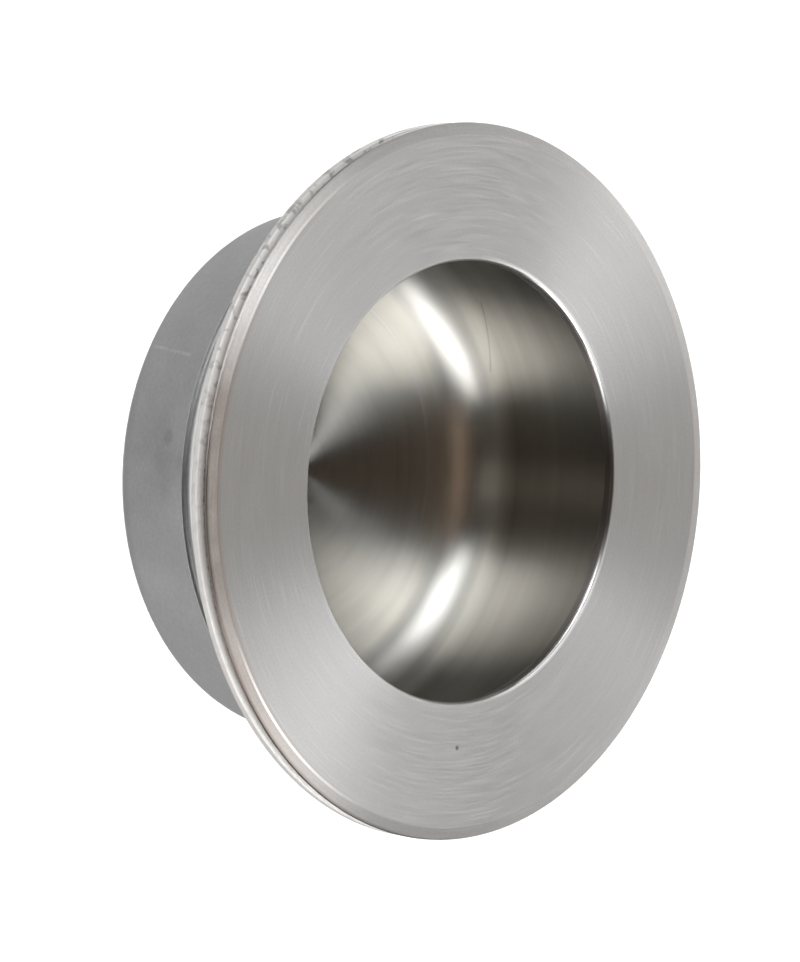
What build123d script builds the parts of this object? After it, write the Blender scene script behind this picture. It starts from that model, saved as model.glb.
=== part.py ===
from build123d import *
import os

# Round pocket door pull in stainless steel. Millimetres, +Z up.
# The pull's axis is Y: the finger opening faces -Y and the cup reaches back into the door along +Y.
# The origin is on that axis, in the plane where the flange seats on the face of the door.
# Every section is drawn with X as the radius and Y as the depth, then turned about Y.

# Widths, from the rim of the flange inwards: 65 over the flange, 52 over the collar, 40 across the opening
flange_diameter = 65.0
seat_width = 6.5
collar_wall = 1.2
spigot_clearance = 0.05
spigot_wall = 1.35
lip_overhang = 3.4

# Lengths along the axis, from the face backwards: 22 in all
face_plate_thickness = 1.2
backing_flange_thickness = 1.0
collar_length = 7.0
collar_gap = 1.2
body_length = 11.6

# Rim of the flange: the face falls away at its edge, and both layers run in to the seam between them
crown_width = 1.1
crown_drop = 0.2
rim_land = 0.25
seam_depth = 0.8
backing_edge_setback = 0.1
backing_edge_slope = 0.35
opening_edge_break = 0.2
collar_lead_in = 0.3

# Body of the cup: a shoulder behind the collar, a wall that thins towards the back, a round rear edge outside
# and a wider round inside, which leads the fingertip from the wall to the floor
shoulder_step = 0.8
rear_edge_round = 4.2
rear_wall = 0.85
cup_floor_thickness = 1.0
cup_floor_round = 4.5

# Places along the axis
seat_y = 0.0
seam_y = seat_y - backing_flange_thickness
face_y = seam_y - face_plate_thickness
collar_end_y = seat_y + collar_length
shoulder_y = collar_end_y + collar_gap
rear_y = shoulder_y + body_length
floor_y = rear_y - cup_floor_thickness
rear_round_y = rear_y - rear_edge_round

# Radii
flange_radius = flange_diameter / 2
backing_radius = flange_radius - backing_edge_setback
seam_radius = flange_radius - seam_depth
collar_radius = flange_radius - seat_width
collar_bore_radius = collar_radius - collar_wall
spigot_radius = collar_bore_radius - spigot_clearance
shoulder_radius = spigot_radius + shoulder_step
cup_bore_radius = spigot_radius - spigot_wall
opening_radius = cup_bore_radius - lip_overhang

# The bore is a plain cylinder, and the outer wall narrows until rear_wall is left where its round begins
body_slope = (cup_bore_radius + rear_wall - shoulder_radius) / (rear_round_y - shoulder_y)

# Corners that are broken or rounded, each as (radius, depth)
opening_front = (opening_radius, face_y)
opening_back = (opening_radius, seam_y)
collar_end = (collar_radius, collar_end_y)
body_corner = (shoulder_radius + body_slope * (rear_y - shoulder_y), rear_y)
bore_corner = (cup_bore_radius, floor_y)


def corner_of(section, corner):
    """The vertex of a section that lies at the given (radius, depth)."""
    return section.vertices().sort_by_distance(corner)[0]


# Face plate: a turned flat ring. Its inner edge is a lip over the mouth of the cup, for the finger to pull on.
with BuildPart() as face_plate:
    with BuildSketch() as face_plate_section:
        with BuildLine():
            Polyline(
                opening_front,
                (flange_radius - crown_width, face_y),
                (flange_radius, face_y + crown_drop),
                (flange_radius, face_y + crown_drop + rim_land),
                (seam_radius, seam_y),
                opening_back,
                close=True,
            )
        make_face()
        chamfer(corner_of(face_plate_section, opening_front), opening_edge_break)
        chamfer(corner_of(face_plate_section, opening_back), opening_edge_break)
    revolve(axis=Axis.Y)

# Backing ring: the second layer of the flange, bonded to the face plate, with the collar that enters the door
with BuildPart() as backing_ring:
    with BuildSketch() as backing_ring_section:
        with BuildLine():
            Polyline(
                (collar_bore_radius, seam_y),
                (seam_radius, seam_y),
                (backing_radius, seam_y + backing_edge_slope),
                (backing_radius, seat_y),
                (collar_radius, seat_y),
                collar_end,
                (collar_bore_radius, collar_end_y),
                close=True,
            )
        make_face()
        chamfer(corner_of(backing_ring_section, collar_end), collar_lead_in)
    revolve(axis=Axis.Y)

# Cup: its spigot fills the collar and butts on the face plate, and a narrow gap parts its shoulder
# from the collar's end. The bore is smooth from the mouth to the round at the floor.
with BuildPart() as cup:
    with BuildSketch() as cup_section:
        with BuildLine():
            Polyline(
                (cup_bore_radius, seam_y),
                (spigot_radius, seam_y),
                (spigot_radius, shoulder_y),
                (shoulder_radius, shoulder_y),
                body_corner,
                (0, rear_y),
                (0, floor_y),
                bore_corner,
                close=True,
            )
        make_face()
        fillet(corner_of(cup_section, body_corner), rear_edge_round)
        fillet(corner_of(cup_section, bore_corner), cup_floor_round)
    revolve(axis=Axis.Y)

face_plate.part.label = "face_plate"
backing_ring.part.label = "backing_ring"
cup.part.label = "cup"

os.makedirs("parts", exist_ok=True)
export_step(face_plate.part, "parts/face_plate.step")
export_step(backing_ring.part, "parts/backing_ring.step")
export_step(cup.part, "parts/cup.step")
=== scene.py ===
import math

import bmesh
import bpy
from bpy.props import (
    FloatProperty,
    FloatVectorProperty,
    IntProperty,
    PointerProperty,
    StringProperty,
)
from mathutils import Matrix, Vector


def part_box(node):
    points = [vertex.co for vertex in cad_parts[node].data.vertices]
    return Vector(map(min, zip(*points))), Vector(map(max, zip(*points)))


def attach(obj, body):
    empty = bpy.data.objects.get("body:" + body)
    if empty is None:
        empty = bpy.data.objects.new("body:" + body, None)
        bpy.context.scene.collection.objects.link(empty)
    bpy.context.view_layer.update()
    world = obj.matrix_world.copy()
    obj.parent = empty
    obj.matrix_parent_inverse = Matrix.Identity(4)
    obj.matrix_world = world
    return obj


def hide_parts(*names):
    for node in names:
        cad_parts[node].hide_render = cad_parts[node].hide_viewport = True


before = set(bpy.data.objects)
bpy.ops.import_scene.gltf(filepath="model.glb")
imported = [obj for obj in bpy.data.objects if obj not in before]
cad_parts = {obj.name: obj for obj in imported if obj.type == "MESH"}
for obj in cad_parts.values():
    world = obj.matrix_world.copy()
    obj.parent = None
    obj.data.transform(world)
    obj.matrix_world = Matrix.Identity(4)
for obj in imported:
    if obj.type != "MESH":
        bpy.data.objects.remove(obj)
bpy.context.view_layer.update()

# A round pocket door pull in stainless steel, dressed around its CAD frame. Metres, +Z up.
# The pull's axis is Y: the finger opening faces -Y and the cup reaches back along +Y.
# Each piece is a section of radius and depth, turned about that axis.

bl_info = {
    "name": "Pocket Door Pull",
    "version": (1, 0, 0),
    "blender": (4, 5, 0),
    "location": "View3D > Sidebar > Door Pull",
    "description": "Dresses a round stainless pocket door pull around its CAD frame",
    "category": "Add Mesh",
}

MM = 0.001
TOUCH = 0.001 * MM
BODY = "root"
WHITE = (1.0, 1.0, 1.0, 1.0)


def radii_at(node, depth):
    """The inner and outer radius of a CAD node about the Y axis, over its vertices at that depth."""
    reach = [
        math.hypot(v.co.x, v.co.z)
        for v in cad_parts[node].data.vertices
        if abs(v.co.y - depth) < TOUCH
    ]
    return min(reach), max(reach)


# Depths that the CAD boxes give, from the face backwards
FACE_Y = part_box("face_plate")[0].y
SEAM_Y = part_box("face_plate")[1].y
SEAT_Y = 0.0
COLLAR_END_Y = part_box("backing_ring")[1].y
REAR_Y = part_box("cup")[1].y

# Radii that the CAD nodes give, from the rim inwards
FLANGE_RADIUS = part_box("face_plate")[1].x
BACKING_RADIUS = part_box("backing_ring")[1].x
SEAM_RADIUS = radii_at("face_plate", SEAM_Y)[1]
CROWN_RADIUS = radii_at("face_plate", FACE_Y)[1]
COLLAR_RADIUS = radii_at("backing_ring", SEAT_Y)[0]
COLLAR_BORE_RADIUS = radii_at("backing_ring", SEAM_Y)[0]
CUP_BORE_RADIUS, SPIGOT_RADIUS = radii_at("cup", SEAM_Y)

# Softboxes, cards and pale walls round the pull, as its steel sees them: the azimuths and elevations that
# each fills (in degrees, 0 in front of the face), its distance in metres, its brightness and its colour
SOFTBOXES = (
    ("softbox_above_left", (-60, 0), (30, 56), 1.5, 3.95, "fafcff"),
    ("softbox_above_right", (0, 36), (30, 58), 1.5, 1.35, "fafcff"),
    ("pale_table", (-60, 31.5), (-51, -33), 1.2, 4.85, "ffffff"),
    ("pale_table_right", (0, 40), (-64, -48), 1.2, 1.2, "ffffff"),
    ("card_right", (43, 62), (-16, 7), 1.5, 3.95, "fffcf9"),
    ("pale_table_left", (-110, -65), (-60, -35), 1.2, 2.2, "ffffff"),
    ("panel_left", (-120, -100), (-42, 42), 1.5, 2.7, "ffffff"),
    ("wall_right", (80, 125), (-40, 45), 1.5, 1.1, "ffffff"),
    ("ceiling_right", (85, 135), (47, 65), 1.5, 4.5, "ffffff"),
    ("room_in_front", (-24, 0), (-18, 18), 1.8, 0.42, "e8c8ae"),
)


class PullSizes(bpy.types.PropertyGroup):
    """Sizes of the door pull that its CAD boxes don't give."""

    steps: IntProperty(
        name="Turn steps",
        description="Steps in a full turn of each section",
        default=288,
        min=32,
    )
    opening_radius: FloatProperty(
        name="Opening radius",
        description="Radius of the finger opening in the face plate",
        default=20.0 * MM,
        unit="LENGTH",
        precision=5,
    )
    opening_edge_round: FloatProperty(
        name="Opening edge",
        description="How far the edge of the opening is rounded over",
        default=0.28 * MM,
        unit="LENGTH",
        precision=5,
    )
    crown_drop: FloatProperty(
        name="Crown drop",
        description="How far the face falls away at the rim of the flange",
        default=0.2 * MM,
        unit="LENGTH",
        precision=5,
    )
    rim_land: FloatProperty(
        name="Rim land",
        description="Height of the straight part of the face plate's rim",
        default=0.25 * MM,
        unit="LENGTH",
        precision=5,
    )
    rim_edge_round: FloatProperty(
        name="Small edges",
        description="Rounding of the small edges of the flange and of the cup's shoulder",
        default=0.08 * MM,
        unit="LENGTH",
        precision=5,
    )
    backing_edge_slope: FloatProperty(
        name="Backing edge slope",
        description="Depth over which the backing ring runs in to the seam",
        default=0.35 * MM,
        unit="LENGTH",
        precision=5,
    )
    collar_lead_in: FloatProperty(
        name="Collar lead-in",
        description="Rounding on the end of the collar that enters the door",
        default=0.3 * MM,
        unit="LENGTH",
        precision=5,
    )
    collar_gap: FloatProperty(
        name="Collar gap",
        description="Width of the dark gap between the collar and the cup's shoulder",
        default=1.2 * MM,
        unit="LENGTH",
        precision=5,
    )
    shoulder_step: FloatProperty(
        name="Shoulder step",
        description="How far the cup's body stands out from its spigot",
        default=0.8 * MM,
        unit="LENGTH",
        precision=5,
    )
    rear_wall: FloatProperty(
        name="Rear wall",
        description="Thickness of the cup's wall where its rear round begins",
        default=0.85 * MM,
        unit="LENGTH",
        precision=5,
    )
    rear_edge_round: FloatProperty(
        name="Rear round",
        description="Radius of the round rear edge of the cup",
        default=4.2 * MM,
        unit="LENGTH",
        precision=5,
    )
    floor_thickness: FloatProperty(
        name="Floor thickness",
        description="Thickness of the cup's floor",
        default=1.0 * MM,
        unit="LENGTH",
        precision=5,
    )
    floor_round: FloatProperty(
        name="Floor round",
        description="Radius of the round between the wall and the floor inside the cup",
        default=4.5 * MM,
        unit="LENGTH",
        precision=5,
    )
    scribed_radius: FloatProperty(
        name="Scribed circle",
        description="Radius of the fine circle that the tool left on the floor",
        default=17.3 * MM,
        unit="LENGTH",
        precision=5,
    )
    centre_mark_radius: FloatProperty(
        name="Centre mark",
        description="Radius of the small circle round the middle of the floor",
        default=4.0 * MM,
        unit="LENGTH",
        precision=5,
    )


class PullFinish(bpy.types.PropertyGroup):
    """Colours of the steel, of the marks on it and of the painted highlights, reflections and shade, as sRGB
    hex values.
    """

    face_colour: StringProperty(
        name="Face colour",
        description="sRGB hex colour of the brushed face",
        default="adadad",
    )
    # The colour of the painted highlight on the crown's left
    crown_highlight_colour: StringProperty(
        name="Crown colour",
        description="sRGB hex colour of the turned crown at the rim of the face",
        default="eeecea",
    )
    # Painted brown: the reflection on the crown's left and the shade line just inside the crown
    painted_brown_colour: StringProperty(
        name="Heat tint",
        description="sRGB hex colour of the brown tint on the crown",
        default="9a7f6c",
    )
    # Also the colour of the painted shade just inside the opening
    seam_colour: StringProperty(
        name="Seam colour",
        description="sRGB hex colour of the dark line of the bond between the two layers",
        default="5e4c42",
    )
    rim_colour: StringProperty(
        name="Rim colour",
        description="sRGB hex colour of the backing ring's edge where it runs in to the seam",
        default="d9d7d4",
    )
    film_colour: StringProperty(
        name="Film colour",
        description="sRGB hex colour of the thin film of bond on the edge of the backing ring",
        default="a9a7a4",
    )
    # Also the colour of the painted shade at the mouth of the collar
    smudge_colour: StringProperty(
        name="Smudge colour",
        description="sRGB hex colour of the smudges on the backing ring's edge and on the body",
        default="6f6b67",
    )
    # Also the colour of the painted highlight on the opening's edge and of the painted light in the gap
    # before the shoulder
    ring_colour: StringProperty(
        name="Ring colour",
        description="sRGB hex colour of the bright backing ring and of rubbed edges",
        default="e2e2e1",
    )
    # Far lighter than the wall colour, over the floor and the round beside it
    floor_colour: StringProperty(
        name="Floor colour",
        description="sRGB hex colour of the cup's floor, where fingertips keep the steel bright",
        default="fbf9f2",
    )
    wall_colour: StringProperty(
        name="Wall colour",
        description="sRGB hex colour of the turned wall inside the cup",
        default="a6a39d",
    )
    body_colour: StringProperty(
        name="Body colour",
        description="sRGB hex colour of the dull outside of the cup",
        default="adadad",
    )


class PullStudio(bpy.types.PropertyGroup):
    """The camera and the floor of the stage."""

    azimuth: FloatProperty(
        name="Azimuth",
        description="Where the camera stands round the pull, 0 looking along +Y",
        default=math.radians(-46.07),
        subtype="ANGLE",
    )
    elevation: FloatProperty(
        name="Elevation",
        description="Height of the camera above the horizon",
        default=math.radians(4.35),
        subtype="ANGLE",
    )
    distance: FloatProperty(
        name="Distance",
        description="From the middle of the face to the camera",
        default=650 * MM,
        unit="LENGTH",
    )
    aim: FloatVectorProperty(
        name="Aim",
        description="How far the picture's middle lies to the right of and above the middle of the face",
        default=(-5.79 * MM, 0.08 * MM),
        size=2,
        precision=5,
    )
    lens: FloatProperty(
        name="Lens",
        description="Focal length of the camera, in millimetres on a 36 mm sensor",
        default=268.9,
    )
    floor_drop: FloatProperty(
        name="Floor drop",
        description="How far the floor lies below the axis of the pull",
        default=900 * MM,
        unit="LENGTH",
    )
    floor_size: FloatProperty(
        name="Floor size",
        description="Length of each side of the floor",
        default=200.0,
        unit="LENGTH",
    )
    floor_colour: StringProperty(
        name="Paper colour",
        description="sRGB hex colour of the paper on the floor",
        default="fbfbfa",
    )


def linear(hex_colour):
    """An sRGB hex colour as a linear RGBA value."""
    channels = [int(hex_colour[i : i + 2], 16) / 255 for i in (0, 2, 4)]
    return (*(c / 12.92 if c <= 0.04045 else ((c + 0.055) / 1.055) ** 2.4 for c in channels), 1.0)


def add_node(tree, kind, inputs=None, **settings):
    """Adds a node with its settings. An input is given by name or number, as a value or a socket."""
    node = tree.nodes.new(kind)
    for name, value in settings.items():
        setattr(node, name, value)
    for key, value in (inputs or {}).items():
        if isinstance(value, bpy.types.NodeSocket):
            tree.links.new(value, node.inputs[key])
        else:
            node.inputs[key].default_value = value
    return node


def product(tree, *factors):
    """The factors multiplied together. Each is a number, a socket or a band, and a band is a socket, the two
    values that it runs between and the factor at each of them, which it keeps beyond them."""
    result = None
    for factor in factors:
        if isinstance(factor, tuple):
            value, start, end, first, last = factor
            band = {"Value": value, "From Min": start, "From Max": end, "To Min": first, "To Max": last}
            factor = add_node(tree, "ShaderNodeMapRange", band).outputs["Result"]
        if result is None:
            result = factor
        else:
            both = add_node(tree, "ShaderNodeMath", {0: result, 1: factor}, operation="MULTIPLY")
            result = both.outputs["Value"]
    return result


def coated(tree, colour, *coats):
    """A colour with coats laid over it in turn, each given as how much of it shows and its colour."""
    for amount, coat_colour in coats:
        mixed = add_node(tree, "ShaderNodeMix", {0: amount, 6: colour, 7: coat_colour}, data_type="RGBA")
        colour = mixed.outputs[2]
    return colour


def new_material(name):
    """An empty node material with its output, and a metal shader linked to it."""
    material = bpy.data.materials.new(name)
    material.use_nodes = True
    tree = material.node_tree
    tree.nodes.clear()
    shader = add_node(tree, "ShaderNodeBsdfPrincipled", {"Metallic": 1.0})
    add_node(tree, "ShaderNodeOutputMaterial", {"Surface": shader.outputs["BSDF"]})
    return material, tree, shader


def set_surface(tree, shader, colour, tone, roughness):
    """Gives the shader its colour, made lighter or darker by the tone, and its roughness."""
    shade = add_node(tree, "ShaderNodeVectorMath", {0: colour, "Scale": tone}, operation="SCALE")
    tree.links.new(shade.outputs["Vector"], shader.inputs["Base Color"])
    tree.links.new(roughness, shader.inputs["Roughness"])


def set_brushing(tree, shader, turned, amount):
    """Draws each light out across the rings that a tool or a belt left round the axis."""
    tree.links.new(turned.round_axis, shader.inputs["Tangent"])
    shader.inputs["Anisotropic"].default_value = amount
    shader.inputs["Anisotropic Rotation"].default_value = 0.25


class TurnedPlace:
    """Sockets that say where a point lies on a turned piece, and the marks that follow its turning."""

    def __init__(self, tree):
        place = add_node(tree, "ShaderNodeTexCoord").outputs["Object"]
        parts = add_node(tree, "ShaderNodeSeparateXYZ", {0: place})
        self.tree = tree
        self.place = place
        self.side = parts.outputs["X"]
        self.depth = parts.outputs["Y"]
        self.height = parts.outputs["Z"]
        across = add_node(tree, "ShaderNodeCombineXYZ", {"X": self.side, "Z": self.height}).outputs[0]
        self.radius = add_node(tree, "ShaderNodeVectorMath", {0: across}, operation="LENGTH").outputs["Value"]
        self.outward = add_node(
            tree, "ShaderNodeVectorMath", {0: across}, operation="NORMALIZE"
        ).outputs["Vector"]
        self.round_axis = add_node(
            tree, "ShaderNodeVectorMath", {0: (0, 1, 0), 1: place}, operation="CROSS_PRODUCT"
        ).outputs["Vector"]
        self.along = add_node(
            tree, "ShaderNodeMath", {0: self.radius, 1: self.depth}, operation="SUBTRACT"
        ).outputs["Value"]
        rise = add_node(tree, "ShaderNodeMath", {0: self.height, 1: self.radius}, operation="DIVIDE")
        self.steepness = add_node(
            tree, "ShaderNodeMath", {0: rise.outputs["Value"]}, operation="ABSOLUTE"
        ).outputs["Value"]
        self.angle = add_node(
            tree, "ShaderNodeMath", {0: self.height, 1: self.side}, operation="ARCTAN2"
        ).outputs["Value"]

    def rings(self, spacing, arc, detail=2.0, roughness=0.5, offset=0.0):
        """Noise drawn out into arcs round the axis: spacing in metres across them, arc in radians along."""
        across = add_node(
            self.tree, "ShaderNodeMath", {0: self.along, 1: 1 / spacing, 2: offset}, operation="MULTIPLY_ADD"
        )
        lifted = add_node(self.tree, "ShaderNodeCombineXYZ", {"Y": across.outputs[0]})
        where = add_node(
            self.tree,
            "ShaderNodeVectorMath",
            {0: self.outward, 1: (1 / arc, 1 / arc, 1 / arc), 2: lifted.outputs[0]},
            operation="MULTIPLY_ADD",
        )
        noise = add_node(
            self.tree,
            "ShaderNodeTexNoise",
            {"Vector": where.outputs[0], "Scale": 1.0, "Detail": detail, "Roughness": roughness},
        )
        return noise.outputs["Fac"]

    def speckle(self, size, detail=2.0, roughness=0.5):
        """Noise without direction, with blots of about that size in metres."""
        noise = add_node(
            self.tree,
            "ShaderNodeTexNoise",
            {"Vector": self.place, "Scale": 1 / size, "Detail": detail, "Roughness": roughness},
        )
        return noise.outputs["Fac"]

    def circle(self, radius, width):
        """1 on a circle round the axis, of that width, and 0 off it."""
        return add_node(
            self.tree, "ShaderNodeMath", {0: self.radius, 1: radius, 2: width / 2}, operation="COMPARE"
        ).outputs["Value"]

    def spot(self, centre, reach):
        """1 at a point of the surface, falling to 0 at that reach from it."""
        away = add_node(
            self.tree, "ShaderNodeVectorMath", {0: self.place, 1: centre}, operation="DISTANCE"
        ).outputs["Value"]
        return product(self.tree, (away, 0.4 * reach, reach, 1.0, 0.0))

    def scratch(self, radius, start, end, width):
        """1 along a line on a wall of that radius, from start to end, each as (depth, angle in degrees)."""
        near, far = (Vector((depth, radius * math.radians(angle), 0.0)) for depth, angle in (start, end))
        reach = far - near
        arc = product(self.tree, self.angle, radius)
        unrolled = add_node(self.tree, "ShaderNodeCombineXYZ", {"X": self.depth, "Y": arc}).outputs[0]
        from_start = add_node(
            self.tree, "ShaderNodeVectorMath", {0: unrolled, 1: near}, operation="SUBTRACT"
        ).outputs["Vector"]
        share = add_node(
            self.tree, "ShaderNodeVectorMath", {0: from_start, 1: reach}, operation="DOT_PRODUCT"
        ).outputs["Value"]
        held = product(self.tree, (share, 0.0, reach.length_squared, 0.0, 1.0))
        nearest = add_node(
            self.tree, "ShaderNodeVectorMath", {0: reach, "Scale": held}, operation="SCALE"
        ).outputs["Vector"]
        off = add_node(
            self.tree, "ShaderNodeVectorMath", {0: from_start, 1: nearest}, operation="DISTANCE"
        ).outputs["Value"]
        return product(self.tree, (off, 0.3 * width, width, 1.0, 0.0))


def brushed_face_steel(finish, sizes):
    """Stainless sheet, brushed in rings with a fine belt: the eye sees soft fans of light that stand across
    the rings, and fine arcs within them. The belt's own scratches, some 0.04 mm wide, are too fine to show,
    so they are drawn 0.12 and 0.2 mm wide."""
    material, tree, shader = new_material("brushed_stainless_face")
    turned = TurnedPlace(tree)
    fine = turned.rings(spacing=0.12 * MM, arc=0.16, detail=2.0)
    broad = turned.rings(spacing=0.9 * MM, arc=0.9, detail=2.0, offset=40.0)
    strokes = turned.rings(spacing=0.2 * MM, arc=0.22, detail=0.0, offset=90.0)
    grain = turned.speckle(0.22 * MM, detail=2.0)
    pit = turned.spot((-0.9 * MM, FACE_Y, -24.14 * MM), 0.28 * MM)

    # The turned crown at the rim, with painted light on its left: a painted highlight, a painted brown
    # reflection, a painted shade line just inside it and a painted glint along its edge
    left_side = product(tree, (turned.side, -28.0 * MM, -13.0 * MM, 1.0, 0.0))
    on_crown = product(tree, (turned.radius, CROWN_RADIUS - 0.03 * MM, CROWN_RADIUS + 0.05 * MM, 0.0, 1.0))
    # Painted shade: a brown line on the face just inside the crown, on the left
    shade_line_beside_crown = product(
        tree, left_side, (turned.radius, CROWN_RADIUS - 0.6 * MM, CROWN_RADIUS - 0.1 * MM, 0.0, 0.4)
    )
    # Painted highlight: the crown lighter on the left, fading towards the bottom
    painted_crown_highlight = product(
        tree, on_crown, (left_side, 0.0, 1.0, 0.15, 1.0), (turned.height, -16.0 * MM, -2.0 * MM, 0.15, 1.0)
    )
    # Painted reflection: a speckled brown tint where the crown is painted lit
    painted_crown_reflection = product(
        tree,
        painted_crown_highlight,
        (turned.speckle(2.5 * MM), 0.35, 0.65, 0.1, 0.35),
        (turned.steepness, 0.3, 0.65, 1.0, 0.0),
    )
    # Painted glint: a white line along the crown's edge, on the upper and lower left
    crown_edge_glint = product(
        tree, turned.circle(CROWN_RADIUS, 0.26 * MM), left_side, (turned.steepness, 0.35, 0.6, 0.0, 0.9)
    )

    # The bond between the layers, which has run over the lower left of the rim
    bond = product(
        tree,
        on_crown,
        (turned.depth, FACE_Y + 0.14 * MM, FACE_Y + 0.22 * MM, 0.0, 0.8),
        (turned.height, 2.0 * MM, 9.0 * MM, 1.0, 0.15),
        (turned.side, -10.0 * MM, 0.0, 1.0, 0.0),
    )

    # The edge of the opening: a painted highlight above and below on the right, and painted shade just inside
    opening = sizes.opening_radius
    edge_highlight = product(
        tree,
        (turned.radius, opening + 0.1 * MM, opening + 0.6 * MM, 1.0, 0.0),
        (turned.steepness, 0.25, 0.5, 0.0, 1.0),
        (turned.side, 2.0 * MM, 9.0 * MM, 0.1, 1.0),
        (turned.depth, FACE_Y + 0.2 * MM, FACE_Y + 0.34 * MM, 1.0, 0.0),
    )
    shade_inside_edge = product(
        tree,
        (turned.radius, opening, opening + 0.12 * MM, 0.6, 0.0),
        (turned.depth, FACE_Y + 0.24 * MM, FACE_Y + 0.34 * MM, 0.0, 1.0),
    )

    colour = coated(
        tree,
        linear(finish.face_colour),
        (shade_line_beside_crown, linear(finish.painted_brown_colour)),
        (painted_crown_highlight, linear(finish.crown_highlight_colour)),
        (painted_crown_reflection, linear(finish.painted_brown_colour)),
        (crown_edge_glint, WHITE),
        (bond, linear(finish.seam_colour)),
        (edge_highlight, linear(finish.ring_colour)),
        (shade_inside_edge, linear(finish.seam_colour)),
    )
    tone = product(
        tree,
        (broad, 0.3, 0.7, 0.985, 1.015),
        (fine, 0.3, 0.7, 0.945, 1.055),
        (strokes, 0.66, 0.8, 1.0, 1.1),
        (grain, 0.3, 0.7, 0.95, 1.05),
        (pit, 0.0, 1.0, 1.0, 0.35),
    )
    roughness = product(tree, (fine, 0.3, 0.7, 0.38, 0.46), (edge_highlight, 0.0, 1.0, 1.0, 0.6))
    set_surface(tree, shader, colour, tone, roughness)
    set_brushing(tree, shader, turned, 0.93)
    bump = add_node(tree, "ShaderNodeBump", {"Strength": 1.0, "Distance": 0.0012 * MM, "Height": fine})
    tree.links.new(bump.outputs["Normal"], shader.inputs["Normal"])
    return material


def bright_ring_steel(finish, sizes):
    """Stainless ring, turned bright: light and smooth. The bond has left its marks on the ring's edge,
    where the eye sees a thin pale film, grey smudges and a ragged brown line along the seam. The lathe's
    feed marks, about 0.1 mm apart, are drawn 0.3 mm apart so that they show."""
    material, tree, shader = new_material("turned_stainless_ring")
    turned = TurnedPlace(tree)
    fine = turned.rings(spacing=0.3 * MM, arc=0.3, detail=2.0)
    blots = turned.speckle(0.8 * MM, detail=1.5)
    ragged = turned.speckle(0.5 * MM, detail=3.0, roughness=0.7)

    land_y = SEAM_Y + sizes.backing_edge_slope
    on_edge = product(tree, (turned.depth, SEAT_Y - 0.06 * MM, SEAT_Y - 0.02 * MM, 1.0, 0.0))
    on_land = product(tree, on_edge, (turned.depth, land_y - 0.03 * MM, land_y + 0.1 * MM, 0.0, 1.0))
    film = product(tree, on_edge, (turned.radius, SEAM_RADIUS - 1.7 * MM, SEAM_RADIUS - 0.7 * MM, 0.0, 1.0))
    smudges = product(
        tree, on_edge, (turned.height, -4.0 * MM, 16.0 * MM, 0.15, 1.0), (blots, 0.53, 0.66, 0.0, 0.6)
    )
    ragged_radius = add_node(
        tree, "ShaderNodeMath", {0: ragged, 1: -0.4 * MM, 2: turned.radius}, operation="MULTIPLY_ADD"
    ).outputs["Value"]
    seam = product(
        tree,
        on_edge,
        (ragged_radius, SEAM_RADIUS - 0.2 * MM, SEAM_RADIUS - 0.05 * MM, 1.0, 0.0),
        (turned.height, 2.0 * MM, 9.0 * MM, 0.8, 0.12),
    )
    # Painted shade at the collar's mouth beside the gap, darker below and none above
    shade_at_collar_mouth = product(
        tree,
        (turned.depth, COLLAR_END_Y - 0.36 * MM, COLLAR_END_Y - 0.24 * MM, 0.0, 1.0),
        (turned.height, -4.0 * MM, 8.0 * MM, 0.5, 0.0),
    )

    colour = coated(
        tree,
        linear(finish.ring_colour),
        (on_edge, linear(finish.rim_colour)),
        (on_land, linear(finish.film_colour)),
        (smudges, linear(finish.smudge_colour)),
        (seam, linear(finish.seam_colour)),
        (shade_at_collar_mouth, linear(finish.smudge_colour)),
    )
    tone = product(tree, (fine, 0.3, 0.7, 0.97, 1.03))
    roughness = product(tree, (blots, 0.4, 0.66, 0.48, 0.56))
    set_surface(tree, shader, colour, tone, roughness)
    set_brushing(tree, shader, turned, 0.5)
    tree.links.new(product(tree, (film, 0.0, 1.0, 1.0, 0.45)), shader.inputs["Metallic"])
    return material


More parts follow.
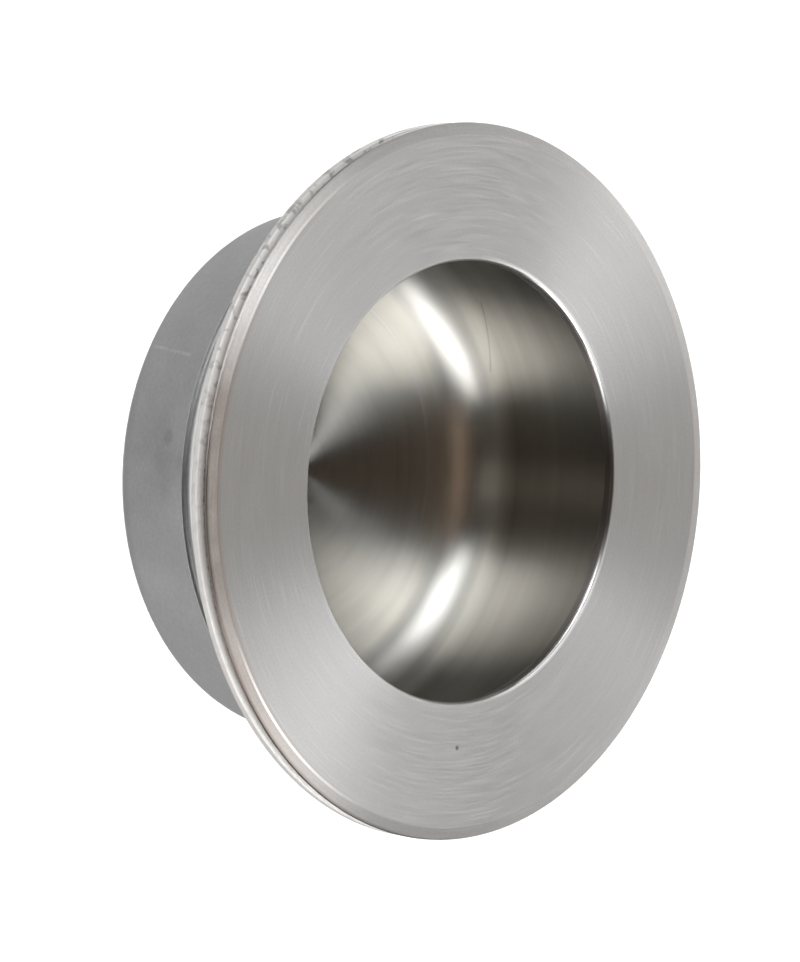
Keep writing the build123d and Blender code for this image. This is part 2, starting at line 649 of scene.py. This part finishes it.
def turned_bore_steel(finish, sizes):
    """Stainless, turned on a lathe inside: the tool's fine rings spread each light into a bow tie on the
    floor and into bands down the wall. The feed marks, about 0.15 mm apart, are drawn 0.6 mm apart so that
    they show as soft arcs."""
    material, tree, shader = new_material("turned_stainless_bore")
    turned = TurnedPlace(tree)
    fine = turned.rings(spacing=0.6 * MM, arc=1.2, detail=1.5)
    broad = turned.rings(spacing=1.5 * MM, arc=0.8, detail=2.0, offset=20.0)
    tool_mark = turned.scratch(CUP_BORE_RADIUS, (12.6 * MM, 40.0), (15.0 * MM, 21.0), 0.14 * MM)

    floor_y = REAR_Y - sizes.floor_thickness
    # The floor and the round beside it are coloured much lighter than the wall
    floorward = product(tree, (turned.depth, floor_y - 5.8 * MM, floor_y - 1.3 * MM, 0.0, 1.0))
    on_floor = product(tree, (turned.depth, floor_y - 0.3 * MM, floor_y - 0.1 * MM, 0.0, 1.0))
    # Circles that the tool left on the floor, drawn lighter all round as a painted glint
    scribed_glint = product(tree, turned.circle(sizes.scribed_radius, 0.15 * MM), on_floor)
    centre_mark_glint = product(tree, turned.circle(sizes.centre_mark_radius, 0.15 * MM), on_floor)
    # Painted shade on the round above and below, which keeps its highlight narrow
    shade_on_round = product(
        tree,
        (turned.depth, floor_y - 3.6 * MM, floor_y - 2.4 * MM, 0.0, 1.0),
        (turned.depth, floor_y - 0.3 * MM, floor_y - 0.02 * MM, 1.0, 0.0),
        (turned.steepness, 0.12, 0.3, 0.0, 1.0),
    )

    colour = coated(
        tree,
        linear(finish.wall_colour),
        (floorward, linear(finish.floor_colour)),
        (product(tree, tool_mark, 0.3), linear(finish.seam_colour)),
    )
    tone = product(
        tree,
        (broad, 0.3, 0.7, 0.95, 1.04),
        (fine, 0.3, 0.7, 0.985, 1.015),
        # Painted shade: the wall darker near the mouth, under the lip
        (turned.depth, 4.0 * MM, 8.5 * MM, 0.8, 1.0),
        (shade_on_round, 0.0, 1.0, 1.0, 0.7),
        (scribed_glint, 0.0, 1.0, 1.0, 1.25),
        (centre_mark_glint, 0.0, 1.0, 1.0, 1.2),
    )
    roughness = product(
        tree, (fine, 0.3, 0.7, 0.28, 0.31), (floorward, 0.0, 1.0, 1.0, 1.1), (scribed_glint, 0.0, 1.0, 1.0, 1.2)
    )
    set_surface(tree, shader, colour, tone, roughness)
    set_brushing(tree, shader, turned, 0.93)
    return material


def dull_body_steel(finish, sizes):
    """Stainless, as drawn and left dull outside: the eye sees an even soft grey, with a light rub and a faint
    smudge. The gap in front of the shoulder has painted shade, darker below and lighter above, and painted
    light on the spigot and the inner part of the shoulder's face."""
    material, tree, shader = new_material("drawn_stainless_body")
    turned = TurnedPlace(tree)
    cloud = turned.speckle(5.0 * MM, detail=4.0, roughness=0.6)
    grain = turned.speckle(0.35 * MM, detail=1.0)
    smudge = turned.spot((-24.7 * MM, 10.8 * MM, 4.7 * MM), 1.0 * MM)
    rub = product(
        tree,
        turned.scratch(SPIGOT_RADIUS, (17.6 * MM, 148.5), (10.6 * MM, 151.7), 0.22 * MM),
        (turned.speckle(1.5 * MM), 0.35, 0.6, 0.05, 0.25),
    )

    shoulder_y = COLLAR_END_Y + sizes.collar_gap
    # Painted light on the spigot and the inner part of the shoulder's face, pale and less metallic
    light_in_gap = product(
        tree,
        (turned.radius, SPIGOT_RADIUS, SPIGOT_RADIUS + 0.38 * MM, 0.85, 0.0),
        (turned.depth, shoulder_y + 0.05 * MM, shoulder_y + 0.1 * MM, 1.0, 0.0),
    )
    # Painted shade in the gap, darker below and lighter above
    shadow = product(tree, (turned.height, 1.0 * MM, 9.0 * MM, 0.7, 1.1))

    colour = coated(
        tree,
        linear(finish.body_colour),
        (product(tree, smudge, 0.25), linear(finish.smudge_colour)),
        (rub, linear(finish.ring_colour)),
        (light_in_gap, linear(finish.ring_colour)),
    )
    tone = product(
        tree,
        (turned.depth, shoulder_y + 0.02 * MM, shoulder_y + 0.07 * MM, shadow, 1.0),
        (cloud, 0.3, 0.7, 0.94, 1.06),
        (grain, 0.3, 0.7, 0.95, 1.05),
    )
    set_surface(tree, shader, colour, tone, product(tree, (cloud, 0.3, 0.7, 0.46, 0.54)))
    tree.links.new(product(tree, (light_in_gap, 0.0, 1.0, 1.0, 0.4)), shader.inputs["Metallic"])
    return material


def turn_section(section, steps):
    """A closed mesh made by turning a section about Y. Each point of it is (radius, depth, round,
    segments)."""
    mesh = bmesh.new()
    corners = [mesh.verts.new((radius, depth, 0.0)) for radius, depth, _, _ in section]
    outline = mesh.faces.new(corners)
    for corner, (_, _, rounding, segments) in zip(corners, section):
        if rounding:
            bmesh.ops.bevel(
                mesh,
                geom=[corner],
                offset=rounding,
                offset_type="OFFSET",
                segments=segments,
                profile=0.5,
                affect="VERTICES",
                material=-1,
            )
    bmesh.ops.delete(mesh, geom=[outline] if outline.is_valid else list(mesh.faces), context="FACES_ONLY")
    on_axis = [e for e in mesh.edges if all(v.co.x < TOUCH for v in e.verts)]
    bmesh.ops.delete(mesh, geom=on_axis, context="EDGES")
    bmesh.ops.spin(
        mesh,
        geom=list(mesh.verts) + list(mesh.edges),
        cent=(0, 0, 0),
        axis=(0, 1, 0),
        angle=math.tau,
        steps=steps,
        use_merge=True,
    )
    bmesh.ops.remove_doubles(mesh, verts=list(mesh.verts), dist=TOUCH)
    bmesh.ops.recalc_face_normals(mesh, faces=list(mesh.faces))
    return mesh


def finish_piece(name, mesh, materials, node):
    """Makes the object of a piece, rides it on the body and lets it stand for its CAD node."""
    for face in mesh.faces:
        face.smooth = True
    data = bpy.data.meshes.new(name)
    mesh.to_mesh(data)
    mesh.free()
    piece = bpy.data.objects.new(name, data)
    bpy.context.scene.collection.objects.link(piece)
    for material in materials:
        data.materials.append(material)
    even = piece.modifiers.new("Flat faces stay flat", "WEIGHTED_NORMAL")
    even.weight = 50
    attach(piece, BODY)
    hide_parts(node)


class AddFacePlate(bpy.types.Operator):
    """Add the brushed face plate with its round finger opening"""

    bl_idname = "door_pull.add_face_plate"
    bl_label = "Face Plate"

    def execute(self, context):
        sizes = context.scene.pull_sizes
        edge = sizes.rim_edge_round
        section = [
            (sizes.opening_radius, FACE_Y, sizes.opening_edge_round, 4),
            (CROWN_RADIUS, FACE_Y, edge, 3),
            (FLANGE_RADIUS, FACE_Y + sizes.crown_drop, edge, 3),
            (FLANGE_RADIUS, FACE_Y + sizes.crown_drop + sizes.rim_land, edge, 3),
            (SEAM_RADIUS, SEAM_Y, 0.0, 0),
            (sizes.opening_radius, SEAM_Y, sizes.opening_edge_round, 4),
        ]
        mesh = turn_section(section, sizes.steps)
        steel = brushed_face_steel(context.scene.pull_finish, sizes)
        finish_piece("brushed_face_plate", mesh, [steel], "face_plate")
        return {"FINISHED"}


class AddBackingRing(bpy.types.Operator):
    """Add the bright backing ring with the collar that enters the door"""

    bl_idname = "door_pull.add_backing_ring"
    bl_label = "Backing Ring"

    def execute(self, context):
        sizes = context.scene.pull_sizes
        edge = sizes.rim_edge_round
        section = [
            (COLLAR_BORE_RADIUS, SEAM_Y, 0.0, 0),
            (SEAM_RADIUS, SEAM_Y, 0.0, 0),
            (BACKING_RADIUS, SEAM_Y + sizes.backing_edge_slope, edge, 3),
            (BACKING_RADIUS, SEAT_Y, edge, 3),
            (COLLAR_RADIUS, SEAT_Y, 0.0, 0),
            (COLLAR_RADIUS, COLLAR_END_Y, sizes.collar_lead_in, 3),
            (COLLAR_BORE_RADIUS, COLLAR_END_Y, 0.0, 0),
        ]
        mesh = turn_section(section, sizes.steps)
        steel = bright_ring_steel(context.scene.pull_finish, sizes)
        finish_piece("bright_backing_ring", mesh, [steel], "backing_ring")
        return {"FINISHED"}


class AddCup(bpy.types.Operator):
    """Add the cup: dull outside, turned inside, with a rounded floor edge"""

    bl_idname = "door_pull.add_cup"
    bl_label = "Cup"

    def execute(self, context):
        sizes = context.scene.pull_sizes
        shoulder_y = COLLAR_END_Y + sizes.collar_gap
        shoulder_radius = SPIGOT_RADIUS + sizes.shoulder_step
        round_y = REAR_Y - sizes.rear_edge_round
        slope = (CUP_BORE_RADIUS + sizes.rear_wall - shoulder_radius) / (round_y - shoulder_y)
        rear_radius = shoulder_radius + slope * (REAR_Y - shoulder_y)
        # The body leans in to its rear face, so its round reaches a little less along each of the two
        rear_reach = sizes.rear_edge_round * math.tan((math.pi / 2 + math.atan(slope)) / 2)
        floor_y = REAR_Y - sizes.floor_thickness
        section = [
            (CUP_BORE_RADIUS, SEAM_Y, 0.0, 0),
            (SPIGOT_RADIUS, SEAM_Y, 0.0, 0),
            (SPIGOT_RADIUS, shoulder_y, 0.0, 0),
            (shoulder_radius, shoulder_y, sizes.rim_edge_round, 3),
            (rear_radius, REAR_Y, rear_reach, 14),
            (0.0, REAR_Y, 0.0, 0),
            (0.0, floor_y, 0.0, 0),
            (CUP_BORE_RADIUS, floor_y, sizes.floor_round, 18),
        ]
        mesh = turn_section(section, sizes.steps)
        for face in mesh.faces:
            middle = face.calc_center_median()
            inside = math.hypot(middle.x, middle.z) < CUP_BORE_RADIUS + TOUCH and middle.y < floor_y + TOUCH
            face.material_index = 1 if inside else 0
        finish = context.scene.pull_finish
        steels = [dull_body_steel(finish, sizes), turned_bore_steel(finish, sizes)]
        finish_piece("turned_cup", mesh, steels, "cup")
        return {"FINISHED"}


def matt_paper(studio):
    """Matt paper, as rolled out on a studio floor: even and nearly white, without a shine."""
    material, _, shader = new_material("matt_studio_paper")
    shader.inputs["Metallic"].default_value = 0.0
    shader.inputs["Base Color"].default_value = linear(studio.floor_colour)
    shader.inputs["Roughness"].default_value = 0.9
    return material


def add_floor(studio):
    """A plain pale floor far below the pull. The steel doesn't mirror it."""
    mesh = bmesh.new()
    bmesh.ops.create_grid(mesh, x_segments=1, y_segments=1, size=studio.floor_size / 2)
    bmesh.ops.translate(mesh, vec=(0, 0, -studio.floor_drop), verts=list(mesh.verts))
    data = bpy.data.meshes.new("studio_floor")
    mesh.to_mesh(data)
    mesh.free()
    floor = bpy.data.objects.new("studio_floor", data)
    data.materials.append(matt_paper(studio))
    bpy.context.scene.collection.objects.link(floor)
    floor.visible_glossy = False


def studio_room():
    """A white room round the pull. It is dark in front of the face, which keeps the cup's shaded parts
    dark, and the steel mirrors only its rear half, brightest low down."""
    world = bpy.data.worlds.new("studio_room")
    world.use_nodes = True
    tree = world.node_tree
    tree.nodes.clear()
    towards = add_node(tree, "ShaderNodeTexCoord").outputs["Generated"]
    parts = add_node(tree, "ShaderNodeSeparateXYZ", {0: towards})
    depth, height = parts.outputs["Y"], parts.outputs["Z"]
    low_and_high = add_node(
        tree,
        "ShaderNodeMath",
        {
            0: product(tree, (height, -0.6, -0.05, 0.75, 0.28)),
            1: product(tree, (height, 0.1, 0.6, 0.0, 0.32)),
        },
        operation="ADD",
    ).outputs["Value"]
    mirrored = product(tree, low_and_high, (depth, 0.1, 0.6, 0.0, 1.0))
    lighting = product(tree, (depth, -0.2, 0.2, 0.1, 2.6))
    mirrored_room, lighting_room, backdrop = (
        add_node(tree, "ShaderNodeBackground", {"Color": WHITE, "Strength": strength}).outputs["Background"]
        for strength in (mirrored, lighting, 1.3)
    )
    sight = add_node(tree, "ShaderNodeLightPath")
    straight = add_node(
        tree, "ShaderNodeMixShader", {0: sight.outputs["Is Camera Ray"], 1: lighting_room, 2: backdrop}
    ).outputs["Shader"]
    room = add_node(
        tree, "ShaderNodeMixShader", {0: sight.outputs["Is Glossy Ray"], 1: straight, 2: mirrored_room}
    ).outputs["Shader"]
    add_node(tree, "ShaderNodeOutputWorld", {"Surface": room})
    return world


def direction(azimuth, elevation):
    """The unit vector from the pull towards that azimuth and elevation. Azimuth 0 is in front of the face."""
    level = math.cos(elevation)
    return Vector((math.sin(azimuth) * level, -math.cos(azimuth) * level, math.sin(elevation)))


def add_softbox(name, azimuths, elevations, distance, brightness, colour):
    """A soft area light that fills those azimuths and elevations, in degrees, as the pull sees it."""
    (left, right), (low, high) = azimuths, elevations
    middle = math.radians((low + high) / 2)
    away = direction(math.radians((left + right) / 2), middle)
    light = bpy.data.lights.new(name, "AREA")
    light.shape = "RECTANGLE"
    light.size = 2 * distance * math.cos(middle) * math.tan(math.radians(right - left) / 2)
    light.size_y = 2 * distance * math.tan(math.radians(high - low) / 2)
    light.energy = brightness * math.pi * light.size * light.size_y
    light.color = linear(colour)[:3]
    lamp = bpy.data.objects.new(name, light)
    lamp.rotation_mode = "QUATERNION"
    lamp.rotation_quaternion = (-away).to_track_quat("-Z", "Y")
    lamp.location = away * distance
    lamp.visible_camera = False
    bpy.context.scene.collection.objects.link(lamp)


def add_camera(studio):
    """A camera at the photograph's angle, which looks level across the picture."""
    back = direction(studio.azimuth, studio.elevation)
    right = direction(studio.azimuth + math.pi / 2, 0.0)
    up = back.cross(right)
    middle = Vector((0.0, FACE_Y, 0.0))
    camera = bpy.data.objects.new("camera", bpy.data.cameras.new("camera"))
    camera.data.lens = studio.lens
    camera.data.sensor_width = 36.0
    camera.data.clip_start = 0.01
    camera.data.clip_end = 500.0
    turn = Matrix((right, up, back)).transposed()
    place = middle + back * studio.distance + right * studio.aim[0] + up * studio.aim[1]
    camera.matrix_world = Matrix.Translation(place) @ turn.to_4x4()
    bpy.context.scene.collection.objects.link(camera)
    return camera


class AddStage(bpy.types.Operator):
    """Add the pale floor, the soft lights and the camera at the photograph's angle"""

    bl_idname = "door_pull.add_stage"
    bl_label = "Stage"

    def execute(self, context):
        studio = context.scene.pull_studio
        add_floor(studio)
        context.scene.world = studio_room()
        for softbox in SOFTBOXES:
            add_softbox(*softbox)
        context.scene.camera = add_camera(studio)
        context.scene.view_settings.view_transform = "Standard"
        return {"FINISHED"}


class DoorPullPanel(bpy.types.Panel):
    """Lists the operators and the settings of the door pull."""

    bl_idname = "VIEW3D_PT_door_pull"
    bl_label = "Pocket Door Pull"
    bl_space_type = "VIEW_3D"
    bl_region_type = "UI"
    bl_category = "Door Pull"

    def draw(self, context):
        for step in STEPS:
            self.layout.operator(step.bl_idname)
        for group in (context.scene.pull_sizes, context.scene.pull_finish, context.scene.pull_studio):
            box = self.layout.box()
            for name in group.__annotations__:
                box.prop(group, name)


GROUPS = (PullSizes, PullFinish, PullStudio)
STEPS = (AddFacePlate, AddBackingRing, AddCup, AddStage)


def register():
    for kind in GROUPS + STEPS + (DoorPullPanel,):
        bpy.utils.register_class(kind)
    bpy.types.Scene.pull_sizes = PointerProperty(type=PullSizes)
    bpy.types.Scene.pull_finish = PointerProperty(type=PullFinish)
    bpy.types.Scene.pull_studio = PointerProperty(type=PullStudio)


def unregister():
    del bpy.types.Scene.pull_studio
    del bpy.types.Scene.pull_finish
    del bpy.types.Scene.pull_sizes
    for kind in reversed(GROUPS + STEPS + (DoorPullPanel,)):
        bpy.utils.unregister_class(kind)


def main():
    register()
    bpy.ops.door_pull.add_face_plate()
    bpy.ops.door_pull.add_backing_ring()
    bpy.ops.door_pull.add_cup()
    bpy.ops.door_pull.add_stage()


if __name__ == "__main__":
    main()
